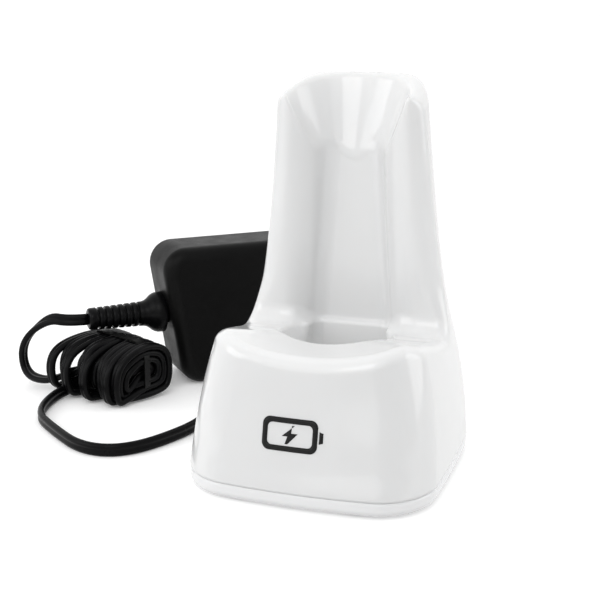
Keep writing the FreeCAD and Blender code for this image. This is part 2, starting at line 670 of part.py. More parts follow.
def on_adapter(obj, label):
    """Stand a piece built on the adapter's axes where the adapter stands."""
    obj.setExpression("Placement.Base.x", bound("adapter_across"))
    obj.setExpression("Placement.Base.y", bound("adapter_behind"))
    obj.Placement.Rotation = Rotation(Vector(0, 0, 1), s("adapter_angle"))
    return node(obj, label)


def case_outline(body, name, inset, chamfer, offset):
    """The case seen from the front: both ends lean out towards the top. Inside, the corners are cut off
    and the upper ones kept clear of the leaning ends."""
    left_low, left_high = "case_start_low + " + inset, "case_start_high + " + inset
    right_low = "case_start_low + case_length - 2 - " + inset
    right_high = "case_start_low + case_length + 4 - " + inset
    top = "case_height - " + inset
    if chamfer == "0":
        points = [(left_low, inset), (right_low, inset), (right_high, top), (left_high, top)]
    else:
        points = [(left_low + " + " + chamfer, inset), (right_low + " - " + chamfer, inset),
                  (right_low, inset + " + " + chamfer), (right_high + " - 1", top + " - " + chamfer),
                  (right_high + " - " + chamfer, top), (left_high + " + " + chamfer, top),
                  (left_high + " + 1.2", top + " - " + chamfer), (left_low, inset + " + " + chamfer)]
    return polygon(body, name, "XZ_Plane", points, offset)


def case_shell(label, front):
    """Half of the adapter's case: a deep tray with rounded corners. Its sketches are lifted towards -Y."""
    body = new_body(label + "_body")
    outline = case_outline(body, label + "_outline", "0", "0", "0.02" if front else "-0.02")
    pad = body.newObject("PartDesign::Pad", label + "_pad")
    pad.Profile = outline
    pad.setExpression("Length", bound("case_thick / 2 - 0.02"))
    pad.Reversed = not front
    round_edges(body, label + "_corners", "case_corner", lambda e: abs(e.tangentAt(e.FirstParameter).y) > 0.9)
    face = number("case_thick / 2") * (-1 if front else 1)
    round_edges(body, label + "_edges", "case_edge",
                lambda e: all(abs(v.Point.y - face) < 0.1 for v in e.Vertexes))
    # Thicker than the walls behind the face, so that its rounded edges keep their thickness.
    depth = "case_thick / 2 - case_wall - 1.2"
    room = case_outline(body, label + "_room", "case_wall", "7", depth if front else "-(" + depth + ")")
    hollow = body.newObject("PartDesign::Pocket", label + "_hollow")
    hollow.Profile = room
    hollow.setExpression("Length", bound("case_thick / 2"))
    hollow.Reversed = not front
    primitive(body, "SubtractiveCylinder", label + "_cable_hole",
              {"Radius": "relief_radius + 0.05", "Height": "16"}, ("-4", "0", "relief_level"), ALONG_X)
    return body


def adapter_case():
    on_adapter(case_shell("front_case", True), "adapter_front_shell")
    rear = case_shell("rear_case", False)
    for i, low in enumerate(BLADES):
        primitive(rear, "SubtractiveBox", "slot_%d" % i, {"Length": "1.6", "Width": "10", "Height": "6.4"},
                  (low + " - 0.05", "case_thick / 2 - 5", "case_height / 2 - 3.2"))
    on_adapter(rear, "adapter_rear_shell")


def strain_relief():
    """Soft sleeve with a collar against the case, a lip inside it and ring grooves along its length."""
    body = new_body("relief")
    points = [("relief_tip", "0"), ("relief_tip", "relief_tip_radius")]
    pitch = "(2 - relief_tip) / 9"
    for i in range(1, 8):
        here = "relief_tip + " + pitch + " * %d" % i
        wide = "relief_tip_radius + (relief_radius - relief_tip_radius) * %d / 8" % i
        points += [(here + " - 0.6", wide), (here + " - 0.6", wide + " - 0.9"),
                   (here + " + 0.6", wide + " - 0.9"), (here + " + 0.6", wide)]
    points += [("relief_root - 4", "relief_radius"), ("relief_root - 3.2", "relief_collar"),
               ("relief_root", "relief_collar"), ("relief_root", "relief_radius"),
               ("relief_root + 4.9", "relief_radius"), ("relief_root + 4.9", "relief_radius + 1.6"),
               ("relief_root + 6.3", "relief_radius + 1.6"), ("relief_root + 6.3", "0")]
    profile = polygon(body, "relief_profile", "XZ_Plane", points)
    profile.setExpression("AttachmentOffset.Base.y", bound("relief_level"))
    spin = body.newObject("PartDesign::Revolution", "relief_spin")
    spin.Profile = profile
    spin.ReferenceAxis = (profile, ["H_Axis"])
    spin.Angle = 360
    on_adapter(body, "adapter_strain_relief")


def panel_body(name, parts):
    """A body of plain boxes: lowest corner and size of each."""
    body = new_body(name)
    for i, (low, size) in enumerate(parts):
        sides = dict(zip(("Length", "Width", "Height"), size))
        primitive(body, "AdditiveBox", "%s_%d" % (name, i), sides, low)
    return body


def adapter_inside():
    """Two blades through the rear half and the small power supply they feed."""
    rear = "supply_level + board_thick"
    blades = [box("blade_%d" % i, (low, rear, "case_height / 2 - 3.15"),
                  ("1.5", "blade_reach + case_thick / 2 - (" + rear + ")", "6.3"))
              for i, low in enumerate(BLADES)]
    on_adapter(group("blade_pair", blades), "mains_blades")
    on_adapter(panel_body("supply_board", [(("22", "supply_level", "8"), ("58", "board_thick", "46"))]),
               "adapter_board")
    core = box("core", ("46", "supply_level - 13", "14"), ("20", "13", "17"))
    winding = box("winding", ("48.5", "supply_level - 14", "11.5"), ("15", "14", "22"))
    on_adapter(fuse("transformer", [core, winding]), "adapter_transformer")
    spots = (("4", "30", "15"), ("4", "30", "26"), ("3.1", "72", "44"))
    cans = [cylinder("supply_can_%d" % i, radius, "11", (across, "supply_level", height), ALONG_FRONT)
            for i, (radius, across, height) in enumerate(spots)]
    on_adapter(group("supply_cans", cans), "adapter_capacitors")
    fins = [(("%g" % (34 + 6 * i), "supply_level - 10", "44"), ("2", "10", "7")) for i in range(5)]
    on_adapter(panel_body("sink", [(("34", "supply_level - 10", "42"), ("26", "10", "2"))] + fins),
               "adapter_heat_sink")


# ---------------------------------------------------------------- hank and tie

# Corners of the bundle on the table.
HANK = [(-128, 38.5), (-94.2, 25.2), (-86.2, 50.8), (-109, 72)]


def hank_block():
    """The tied bundle of spare lead as one rounded block."""
    body = new_body("hank")
    outline = polygon(body, "hank_outline", "XY_Plane", [("%g" % x, "%g" % y) for x, y in HANK], "hank_clear")
    pad = body.newObject("PartDesign::Pad", "hank_pad")
    pad.Profile = outline
    pad.setExpression("Length", bound("hank_height - hank_clear"))
    round_edges(body, "hank_corners", "hank_round", lambda e: abs(e.tangentAt(e.FirstParameter).z) > 0.9)
    round_edges(body, "hank_edges", "hank_round - 0.5", lambda e: abs(e.tangentAt(e.FirstParameter).z) < 0.1)
    return body


def hank_and_tie(leads):
    """The bundle, with both leads running into it, and the band round its middle."""
    block = hank_block()
    node(cut("hank_with_leads", block, fuse("hank_leads", leads)), "cord_hank")
    grown = doc.addObject("Part::Offset", "tie_outside")
    grown.Source = block
    grown.setExpression("Value", bound("tie_thick"))
    middle = sum((Vector(x, y, 0) for x, y in HANK), Vector()) * 0.25
    corners = [Vector(x, y, 0) for x, y in HANK]
    run = corners[2] + corners[3] - corners[0] - corners[1]
    slab = doc.addObject("Part::Box", "tie_slab")
    slab.Length, slab.Width, slab.Height = s("tie_width"), 80, 40
    turn = Rotation(Vector(0, 0, 1), math.degrees(math.atan2(run.y, run.x)))
    slab.Placement = Placement(middle + turn.multVec(Vector(-s("tie_width") / 2, -40, -5)), turn)
    band = doc.addObject("Part::MultiCommon", "tie_band")
    band.Shapes = [grown, slab]
    node(cut("tie", band, block), "cord_tie")


# ---------------------------------------------------------------- build, check, export

def build():
    upper_shell()
    bottom_plate()
    plate_trim()
    circuit_board()
    power_socket()
    board_parts()
    contact_block()
    plug()
    adapter_case()
    strain_relief()
    adapter_inside()
    hank_and_tie([cord_tube("cord_lead_front", ROUTE_FRONT), cord_tube("cord_lead_back", ROUTE_BACK)])
    doc.recompute()


def check():
    """Stop before anything is written if any object failed or any shape is bad."""
    for obj in doc.Objects:
        if "Invalid" in obj.State or "Error" in obj.State:
            raise RuntimeError("%s failed: %s" % (obj.Name, obj.State))
    for obj in NODES:
        shape = obj.Shape
        if shape.isNull() or not shape.isValid() or not shape.Solids:
            raise RuntimeError("%s has no valid solid" % obj.Label)


def export():
    os.makedirs("parts", exist_ok=True)
    for obj in NODES:
        obj.Shape.exportStep("parts/%s.step" % obj.Label)
        print("%-24s %d solids, %.0f mm3" % (obj.Label, len(obj.Shape.Solids), obj.Shape.Volume))


build()
check()
export()
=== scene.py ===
"""Looks of a curing light's charging stand, its mains adapter and its lead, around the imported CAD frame.

Shapes are worked out in millimetres, in the CAD's own axes (+Z up, front towards -Y), and made in metres.
"""
import json
import math

import bmesh
import bpy
import numpy as np
from mathutils import Matrix, Vector


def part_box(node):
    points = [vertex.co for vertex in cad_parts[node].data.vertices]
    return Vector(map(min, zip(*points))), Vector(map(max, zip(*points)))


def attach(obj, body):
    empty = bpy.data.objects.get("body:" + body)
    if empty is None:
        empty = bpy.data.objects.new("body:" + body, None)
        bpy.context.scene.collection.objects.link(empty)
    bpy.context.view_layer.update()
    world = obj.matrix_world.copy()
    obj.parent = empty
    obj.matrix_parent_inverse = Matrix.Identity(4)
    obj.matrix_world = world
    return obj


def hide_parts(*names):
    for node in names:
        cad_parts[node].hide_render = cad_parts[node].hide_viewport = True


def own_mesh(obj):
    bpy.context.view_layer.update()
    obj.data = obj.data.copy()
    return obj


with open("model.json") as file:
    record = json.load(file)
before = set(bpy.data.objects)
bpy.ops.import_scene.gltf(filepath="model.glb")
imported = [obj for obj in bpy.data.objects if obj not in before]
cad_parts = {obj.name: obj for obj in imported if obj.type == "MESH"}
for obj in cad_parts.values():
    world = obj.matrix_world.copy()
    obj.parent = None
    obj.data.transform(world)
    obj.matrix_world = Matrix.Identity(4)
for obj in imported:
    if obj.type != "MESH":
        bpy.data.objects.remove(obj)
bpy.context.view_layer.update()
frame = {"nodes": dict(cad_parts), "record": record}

MM = 0.001
NODES = frame["nodes"]


# ---------------------------------------------------------------- smooth curves and joins

def spline(levels, values):
    """Natural cubic spline through a few points, as a function of z."""
    x = np.asarray(levels, float)
    y = np.asarray(values, float)
    n = len(x)
    h = np.diff(x)
    a = np.eye(n)
    b = np.zeros(n)
    for i in range(1, n - 1):
        a[i, i - 1:i + 2] = h[i - 1], 2 * (h[i - 1] + h[i]), h[i]
        b[i] = 6 * ((y[i + 1] - y[i]) / h[i] - (y[i] - y[i - 1]) / h[i - 1])
    m = np.linalg.solve(a, b)

    def at(z):
        z = np.clip(z, x[0], x[-1])
        i = np.clip(np.searchsorted(x, z) - 1, 0, n - 2)
        low, high, step = z - x[i], x[i + 1] - z, h[i]
        return ((m[i] * high ** 3 + m[i + 1] * low ** 3) / (6 * step)
                + (y[i] / step - m[i] * step / 6) * high + (y[i + 1] / step - m[i + 1] * step / 6) * low)

    return at


def smoothstep(low, high, x):
    t = np.clip((x - low) / (high - low), 0, 1)
    return t * t * (3 - 2 * t)


def meet(a, b, r):
    """Where two solids overlap, with the edge between them rounded to radius r."""
    return np.minimum(np.maximum(a, b), -r) + np.hypot(np.maximum(a + r, 0), np.maximum(b + r, 0))


def join(a, b, r):
    """Two solids together, with a fillet of radius r between them."""
    return -meet(-a, -b, r)


# ---------------------------------------------------------------- form of the stand

HALF = spline([0, 6, 20, 36, 54, 80, 108, 138], [42.8, 42.7, 41.6, 39.1, 34.8, 30.5, 27.4, 24.6])
FRONT = spline([0, 6, 13, 20, 36, 54, 80, 138], [43.5, 42.7, 40.7, 39.1, 35.4, 32.4, 29.5, 24.0])
BACK = spline([0, 6, 36, 80, 108, 138], [43.2, 43.1, 42.2, 40.8, 39.8, 38.6])
WING = spline([48, 70, 85, 100, 115, 127, 138], [17.5, 16.1, 15.3, 14.4, 13.2, 11.6, 9.8])
PANEL_HALF = spline([40, 55, 70, 85, 100, 115, 138], [13.4, 12.4, 11.3, 10.3, 9.4, 8.8, 8.6])

SEAM = 6.0
WALL = 2.4
FRONT_BOW, SIDE_BOW = 4.2, 1.6
CORNER_LOW, CORNER_HIGH = 16.5, 13.0
LIP_SIDE, LIP_MIDDLE, LIP_Y = 53.2, 47.6, -27           # front edge of the seat
SEAT_SLOPE, DISH_RADIUS, PLATFORM = 0.229, 102.0, 45.2
PANEL, TROUGH_FLARE, TROUGH_FILLET, WING_EDGE = 26.2, 0.54, 3.5, 6.5
WELL_RADIUS, WELL_Y, WELL_FLOOR, WELL_TOP = 16.0, 7.5, 20.0, 50.0
WELL_REAR, REAR_FLARE = 24.1, 0.16
FUNNEL_LEVEL, FUNNEL_FLARE, FUNNEL_REAR = 38.5, 0.5, 17.0
BOWL_Y, BOWL_APEX, BOWL_FLARE = 13.6, 72.2, 0.39
RIM_FRONT, RIM_FRONT_Y, RIM_SLOPE, RIM_CORNER = 127.0, 12.4, 0.2, 9.5
PIN_X, PIN_HOLE = 5.0, 1.6
SOCKET_LEVEL, SOCKET_HOLE = 15.6, 4.9
FOOT_GAP, PLATE_EDGE, PLATE_WALL, PLATE_FLOOR = 0.8, 2.6, 2.5, 2.0
GRID_X, GRID_Y = (-46, 46), (-47, 46)


def plan(x, y, z, inset=0.0):
    """Outside of the stand in plan: a rounded rectangle with bowed sides that changes with height."""
    half = HALF(z) - inset
    front, back = FRONT(z) - inset, BACK(z) - inset
    middle, depth = (back - front) / 2, (back + front) / 2
    corner = CORNER_LOW + (CORNER_HIGH - CORNER_LOW) * np.clip((z - SEAM) / 130, 0, 1) - inset
    across = np.clip(np.abs(x) / half, 0, 1.1)
    along = np.clip((y - middle) / depth, -1.1, 1.1)
    ahead = smoothstep(-1.0, 0.6, -along)
    shifted = y - middle - FRONT_BOW * across ** 2 * ahead + SIDE_BOW * across ** 2 * (1 - ahead)
    qx = np.abs(x) + SIDE_BOW * along ** 2 - (half - corner)
    qy = np.abs(shifted) - (depth - corner)
    return np.hypot(np.maximum(qx, 0), np.maximum(qy, 0)) + np.minimum(np.maximum(qx, qy), 0) - corner


# Each field below is a signed distance in millimetres, negative inside. The factors just below 1 make up for
# a sloping or conical surface, whose distance would come out too long.

def seat(x, y, z):
    """The front block: a sloping top that is dished across, behind it a low platform."""
    slope = (z - LIP_SIDE + SEAT_SLOPE * (y - LIP_Y)) * 0.975
    block = join(slope, z - PLATFORM, 1.0)
    return meet(block, z - LIP_MIDDLE - x ** 2 / (2 * DISH_RADIUS), 1.2) * 0.98


def backrest(x, y, z):
    """Two wings either side of a trough that flares forwards."""
    trough = (np.abs(x) - PANEL_HALF(z) - TROUGH_FLARE * (PANEL - y)) * 0.91
    return meet(WING(z) - y, -meet(y - PANEL, trough, TROUGH_FILLET), WING_EDGE)


def top_cuts(form, x, y, z):
    """Cuts the conical bowl into the backrest, and its top to the sloping rim."""
    bowl = (np.hypot(x, y - BOWL_Y) - BOWL_FLARE * (z - BOWL_APEX)) * 0.92
    form = meet(form, -bowl, 1.0)
    top = (z - RIM_FRONT - RIM_SLOPE * (y - RIM_FRONT_Y)) * 0.98
    top = meet(top, np.abs(x) - HALF(z) - 1.0, RIM_CORNER)
    return meet(form, top, 1.5)


def well(x, y, z):
    """The well: round in front, as wide as the trough behind, with a funnel round its mouth."""
    radial = np.hypot(x, y - WELL_Y)
    rear = meet(y - WELL_REAR, np.abs(x) - PANEL_HALF(z) - REAR_FLARE * (WELL_REAR - y), 3.0)
    rear = np.maximum(rear, WELL_Y - y)
    hole = join(radial - WELL_RADIUS, rear, 0.5)
    funnel = (radial - WELL_RADIUS - FUNNEL_FLARE * (z - FUNNEL_LEVEL)) * 0.894
    hole = join(hole, meet(funnel, y - FUNNEL_REAR, 2.0), 1.5)
    hole = meet(hole, WELL_FLOOR - z, 2.0)
    return np.maximum(hole, z - WELL_TOP)


def stand_form(x, y, z):
    """Outer form of the upper shell."""
    fillet = 1.3 + 5.7 * smoothstep(11, 20, np.abs(x))
    form = join(seat(x, y, z), backrest(x, y, z), fillet)
    form = meet(form, plan(x, y, z), 4.2 + 3.3 * smoothstep(48, 62, z))
    form = top_cuts(form, x, y, z)
    return meet(form, -well(x, y, z), 1.3)


def shell_outside(x, y, z):
    """The moulding's outside, with its lower edge softened."""
    return stand_form(x, y, z) + 0.35 * (1 - smoothstep(SEAM, SEAM + 0.8, z))


def shell_inside(x, y, z):
    return stand_form(x, y, z) + WALL


def plate_outside(x, y, z):
    """The shallow bottom plate: a rounded lower edge and a softened upper one."""
    low = np.clip((FOOT_GAP + PLATE_EDGE - z) / PLATE_EDGE, 0, 1)
    outer = plan(x, y, np.full_like(z, SEAM), 0.15) + PLATE_EDGE * (1 - np.sqrt(np.maximum(1 - low ** 2, 0)))
    return meet(outer + 0.3 * smoothstep(SEAM - 0.9, SEAM, z), FOOT_GAP - z, 0.6)


def plate_inside(x, y, z):
    return meet(plan(x, y, np.full_like(z, SEAM), PLATE_WALL), FOOT_GAP + PLATE_FLOOR - z, 1.0)


# ---------------------------------------------------------------- meshes from fields

CORNERS = [(i, j, k) for i in (0, 1) for j in (0, 1) for k in (0, 1)]
CELL_EDGES = [(a, b) for a in CORNERS for b in CORNERS
              if a < b and sum(abs(p - q) for p, q in zip(a, b)) == 1]


def gradient(field, p, step=0.04):
    slope = np.empty_like(p)
    for axis in range(3):
        shift = np.zeros(3)
        shift[axis] = step
        slope[:, axis] = (field(*(p + shift).T) - field(*(p - shift).T)) / (2 * step)
    return slope


def pull_to_surface(field, p, rounds=3, reach=0.8):
    """Moves points along the field's slope until they lie on its surface."""
    for _ in range(rounds):
        slope = gradient(field, p)
        size = np.maximum((slope ** 2).sum(1), 0.05)
        step = -(field(*p.T) / size)[:, None] * slope
        length = np.linalg.norm(step, axis=1, keepdims=True)
        p = p + step * np.minimum(1, reach / np.maximum(length, 1e-9))
    return p


def crossed_cells(inside, size):
    """The grid cells that have corners on both sides of the surface."""
    def corner(c):
        return inside[c[0]:c[0] + size[0], c[1]:c[1] + size[1], c[2]:c[2] + size[2]]

    mixed = np.zeros(size, bool)
    for c in CORNERS[1:]:
        mixed |= corner(c) != corner(CORNERS[0])
    return np.argwhere(mixed)


def cell_points(axes, value, cells):
    """One point in each cell: the mean of the places where the surface crosses its edges."""
    total = np.zeros((len(cells), 3))
    count = np.zeros(len(cells))
    for a, b in CELL_EDGES:
        ia, ib = (cells + a).T, (cells + b).T
        va, vb = value[tuple(ia)], value[tuple(ib)]
        hit = (va < 0) != (vb < 0)
        share = np.where(hit, va / np.where(hit, va - vb, 1), 0)
        pa = np.stack([axis[i] for axis, i in zip(axes, ia)], 1)
        pb = np.stack([axis[i] for axis, i in zip(axes, ib)], 1)
        total += np.where(hit[:, None], pa + share[:, None] * (pb - pa), 0)
        count += hit
    return total / count[:, None]


def edge_quads(inside, number, size, axis):
    """A quad round every grid edge along one axis that the surface crosses, facing outwards."""
    u, v = (axis + 1) % 3, (axis + 2) % 3
    low = [slice(None)] * 3
    high = [slice(None)] * 3
    low[axis], high[axis] = slice(0, -1), slice(1, None)
    spots = np.argwhere(inside[tuple(low)] != inside[tuple(high)])
    for side in (u, v):
        spots = spots[(spots[:, side] > 0) & (spots[:, side] < size[side])]
    du, dv = np.eye(3, dtype=int)[u], np.eye(3, dtype=int)[v]
    ring = [spots - du - dv, spots - dv, spots, spots - du]
    ring = np.stack([number[tuple(r.T)] for r in ring], 1)
    outward = inside[tuple(spots.T)]
    return np.where(outward[:, None], ring, ring[:, ::-1])


def surface_net(field, xs, ys, zs):
    """Vertices and quads of the field's surface on a grid with uneven steps."""
    value = np.stack([field(*np.meshgrid([x], ys, zs, indexing="ij"))[0] for x in xs])
    inside = value < 0
    size = [n - 1 for n in value.shape]
    cells = crossed_cells(inside, size)
    number = np.full(size, -1)
    number[tuple(cells.T)] = np.arange(len(cells))
    quads = [edge_quads(inside, number, size, axis) for axis in range(3)]
    return cell_points((xs, ys, zs), value, cells), np.concatenate(quads)


def relax(field, points, quads, rounds):
    """Evens out the vertices along the surface."""
    n = len(points)
    ends = np.concatenate([quads[:, [i, (i + 1) % 4]] for i in range(4)])
    for _ in range(rounds):
        total = np.zeros_like(points)
        count = np.zeros(n)
        for a, b in ((0, 1), (1, 0)):
            np.add.at(total, ends[:, a], points[ends[:, b]])
            np.add.at(count, ends[:, a], 1)
        points = points + 0.5 * (total / count[:, None] - points)
        points = pull_to_surface(field, points, 2)
    return points


def new_piece(name, points, faces, body="stand"):
    mesh = bpy.data.meshes.new(name)
    mesh.from_pydata([tuple(p) for p in points], [], [tuple(f) for f in faces])
    mesh.update()
    obj = bpy.data.objects.new(name, mesh)
    bpy.context.scene.collection.objects.link(obj)
    mesh.shade_smooth()
    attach(obj, body)
    return obj


def trim(obj, level, keep_above):
    """Cuts a hollow mesh at a height and closes the cut."""
    bm = bmesh.new()
    bm.from_mesh(obj.data)
    bmesh.ops.bisect_plane(bm, geom=bm.verts[:] + bm.edges[:] + bm.faces[:], plane_co=(0, 0, level * MM),
                           plane_no=(0, 0, -1 if keep_above else 1), clear_outer=True, dist=1e-7)
    rim = [e for e in bm.edges if e.is_boundary]
    bmesh.ops.triangle_fill(bm, edges=rim, use_beauty=True, normal=(0, 0, -1 if keep_above else 1))
    bm.to_mesh(obj.data)
    bm.free()


def drill(obj, holes):
    """Cuts round holes: (centre, direction, radius, length) of each, in millimetres."""
    for centre, direction, radius, length in holes:
        bm = bmesh.new()
        bmesh.ops.create_cone(bm, cap_ends=True, segments=64, radius1=radius * MM, radius2=radius * MM,
                              depth=length * MM)
        turn = Vector((0, 0, 1)).rotation_difference(Vector(direction)).to_matrix().to_4x4()
        bm.transform(Matrix.Translation(Vector(centre) * MM) @ turn)
        mesh = bpy.data.meshes.new("drill")
        bm.to_mesh(mesh)
        bm.free()
        cutter = bpy.data.objects.new("drill", mesh)
        bpy.context.scene.collection.objects.link(cutter)
        modifier = obj.modifiers.new("hole", "BOOLEAN")
        modifier.operation, modifier.solver, modifier.object = "DIFFERENCE", "EXACT", cutter
        bpy.context.view_layer.update()
        evaluated = obj.evaluated_get(bpy.context.evaluated_depsgraph_get())
        obj.data = bpy.data.meshes.new_from_object(evaluated)
        obj.modifiers.clear()
        bpy.data.objects.remove(cutter)


def set_normals(obj, field):
    """Shading normals from the form itself, so that reflections run smoothly; cut faces keep their own."""
    mesh = obj.data
    mesh.shade_smooth()
    co = np.empty(len(mesh.vertices) * 3, np.float32)
    mesh.vertices.foreach_get("co", co)
    points = co.reshape(-1, 3).astype(float) / MM
    slope = gradient(field, points)
    slope /= np.maximum(np.linalg.norm(slope, axis=1, keepdims=True), 1e-9)
    corner = np.empty(len(mesh.loops), np.int32)
    mesh.loops.foreach_get("vertex_index", corner)
    count = np.empty(len(mesh.polygons), np.int32)
    mesh.polygons.foreach_get("loop_total", count)
    face = np.empty(len(mesh.polygons) * 3, np.float32)
    mesh.polygons.foreach_get("normal", face)
    face = np.repeat(face.reshape(-1, 3), count, axis=0)
    form = slope[corner]
    agree = (form * face).sum(1)
    normals = np.where((np.abs(agree) > 0.75)[:, None], form * np.sign(agree)[:, None], face)
    mesh.normals_split_custom_set(normals.tolist())


def steps(*spans):
    """Grid lines from (start, end, step) spans that follow each other."""
    lines = [np.arange(a, b - 1e-9, s) for a, b, s in spans]
    return np.concatenate(lines + [[spans[-1][1]]])


def skin(field, zs, step, rounds=3):
    """The surface of a field as evened-out vertices and quads, on a grid of one step in plan."""
    points, quads = surface_net(field, steps((*GRID_X, step)), steps((*GRID_Y, step)), zs)
    points = pull_to_surface(field, points)
    return relax(field, points, quads, rounds), quads


def hollow_piece(name, outside, inside, heights, step, level, keep_above, holes=()):
    """A closed moulding from its outer and inner surfaces, cut off flat at a level."""
    points, quads = skin(outside, steps(*heights), step)
    inner_points, inner_quads = skin(inside, steps(*heights), 2 * step, 1)
    inner_quads = inner_quads[:, ::-1] + len(points)
    obj = new_piece(name, np.concatenate([points, inner_points]) * MM, np.concatenate([quads, inner_quads]))
    trim(obj, level, keep_above)
    drill(obj, holes)
    set_normals(obj, outside)
    return obj


def build_stand():
    step = 0.9
    holes = [((side * PIN_X, WELL_Y, WELL_FLOOR - 1), (0, 0, 1), PIN_HOLE, 6) for side in (-1, 1)]
    holes.append(((0, 43, SOCKET_LEVEL), (0, 1, 0), SOCKET_HOLE, 12))
    shell = hollow_piece("shell_moulding", shell_outside, shell_inside, [(4.2, 9, 0.3), (9, 136, step)], step,
                         SEAM + 0.05, True, holes)
    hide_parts("upper_shell")
    plate = hollow_piece("base_plate_moulding", plate_outside, plate_inside, [(0.2, 7.0, 0.3)], step,
                         SEAM - 0.12, False)
    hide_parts("bottom_plate")
    return shell, plate


# ---------------------------------------------------------------- mark on the front

MARK_MIDDLE = (-2.0, 24.2)         # x and z of the mark on the front face
MARK_WIDTH, MARK_HEIGHT, MARK_STROKE, MARK_CORNER = 18.4, 10.4, 1.7, 2.4
MARK_FILM = 0.08                   # half of its thickness
FRONT_GUESS = -38.0                # a y just in front of the face, where the search for it starts

# The battery's terminal and the two halves of its bolt: the ends of each one's two sides, and its rows.
MARK_BARS = [(((9.7, -1.9), (9.7, 1.9)), ((11.0, -1.5), (11.0, 1.5)), 4),
             (((1.5, 2.9), (-2.6, -0.5)), ((0.6, 2.9), (0.4, -0.5)), 6),
             (((-0.4, 0.5), (-1.5, -2.9)), ((2.6, 0.5), (-0.6, -2.9)), 6)]


def rounded_rectangle(width, height, corner, count=12):
    """Points round a rectangle with rounded corners, the same number at every corner and side."""
    points = []
    for quarter, (sx, sz) in enumerate(((1, 1), (-1, 1), (-1, -1), (1, -1))):
        centre = np.array([sx * (width / 2 - corner), sz * (height / 2 - corner)])
        for i in range(count + 1):
            angle = math.pi / 2 * (quarter + i / count)
            points.append(centre + corner * np.array([math.cos(angle), math.sin(angle)]))
        run = np.array([-2 * centre[0], 0]) if quarter % 2 == 0 else np.array([0, -2 * centre[1]])
        corner_end = points[-1]
        points += [corner_end + run * k / count for k in range(1, count)]
    return points


def ladder(first, second, rows):
    """Two sides run through in the same number of rows, as a strip of quads."""
    share = np.linspace(0, 1, rows)[:, None]
    return (np.array(first[0]) + share * (np.array(first[1]) - np.array(first[0])),
            np.array(second[0]) + share * (np.array(second[1]) - np.array(second[0])))


def mark_strips():
    """The mark as strips, each a pair of sides with the same number of points."""
    outer = rounded_rectangle(MARK_WIDTH, MARK_HEIGHT, MARK_CORNER)
    inner = rounded_rectangle(MARK_WIDTH - 2 * MARK_STROKE, MARK_HEIGHT - 2 * MARK_STROKE,
                              MARK_CORNER - MARK_STROKE / 2)
    outline = (np.array(outer + outer[:1]), np.array(inner + inner[:1]))
    return [outline] + [ladder(first, second, rows) for first, second, rows in MARK_BARS]


def build_mark():
    """A plain battery outline with a bolt, printed black: a generic sign for charging."""
    points, faces = [], []
    for left, right in mark_strips():
        start = len(points)
        for a, b in zip(left, right):
            points += [a, b]
        for k in range(start, start + 2 * len(left) - 2, 2):
            faces.append((k, k + 1, k + 3, k + 2))
    flat = np.array(points) + MARK_MIDDLE
    spots = np.stack([flat[:, 0], np.full(len(flat), FRONT_GUESS), flat[:, 1]], 1)
    for _ in range(12):
        spots[:, 1] += stand_form(*spots.T)
    slope = gradient(stand_form, spots)
    slope /= np.linalg.norm(slope, axis=1, keepdims=True)
    verts = np.concatenate([spots + slope * MARK_FILM, spots - slope * MARK_FILM])
    obj = new_piece("charging_mark", verts * MM, close_film(faces, len(spots)))
    tidy_faces(obj)
    return obj


def close_film(faces, count):
    """Both sides of a film and its rim, from the faces of one side."""
    edges = {}
    for face in faces:
        for a, b in zip(face, face[1:] + face[:1]):
            edges[(a, b)] = edges.get((b, a)) is None
            if (b, a) in edges:
                edges[(b, a)] = False
    rim = [(a, b, b + count, a + count) for (a, b), single in edges.items() if single]
    return faces + [tuple(k + count for k in face[::-1]) for face in faces] + rim


def tidy_faces(obj):
    """Merges doubled vertices and turns every face outwards."""
    bm = bmesh.new()
    bm.from_mesh(obj.data)
    bmesh.ops.remove_doubles(bm, verts=bm.verts[:], dist=1e-7)
    bmesh.ops.recalc_face_normals(bm, faces=bm.faces[:])
    bm.to_mesh(obj.data)
    bm.free()


# ---------------------------------------------------------------- the lead

# The lead's line: from the plug round to the hank, and from the hank up to the adapter.
ROUTE_FRONT = [(0, 70, 15.6), (0, 79.5, 15.6), (-2, 90, 10.5), (-11, 98, 4.5), (-25, 97, 2.4),
               (-37.5, 86, 2.4), (-48, 67, 2.4), (-54, 45, 2.4), (-56.7, 23.5, 2.4), (-58.3, 6.9, 2.4),
               (-69.4, -17.2, 2.4), (-86, -21, 2.4), (-106.2, -6.2, 2.4), (-119.7, 5.6, 2.4),
               (-125.2, 28.5, 2.4), (-119.8, 43, 3.2)]
ROUTE_BACK = [(-113.5, 42.5, 12.5), (-122.5, 38, 8.8), (-133, 35.8, 4.6), (-146.8, 42.2, 4.7),
              (-147.4, 41.9, 18.7), (-134.4, 42, 30.1), (-125, 41.4, 29.5), (-118.6, 46.5, 29.5)]
HANK_START = (-114.0, 46.0, 2.4)
CORD_WIDE, CORD_THIN = 4.8, 2.6
HANK_NEAR = (np.array([-127.0, 38.5]), np.array([-97.0, 26.5]))     # near ends of the turns, left to right
HANK_FAR = (np.array([-109.5, 67.0]), np.array([-85.5, 51.5]))      # far ends
HANK_MIDDLE, HANK_RISE, LAYER, DROOP = 12.3, 10.1, 2.75, 3.2
TURN_POINTS = 12

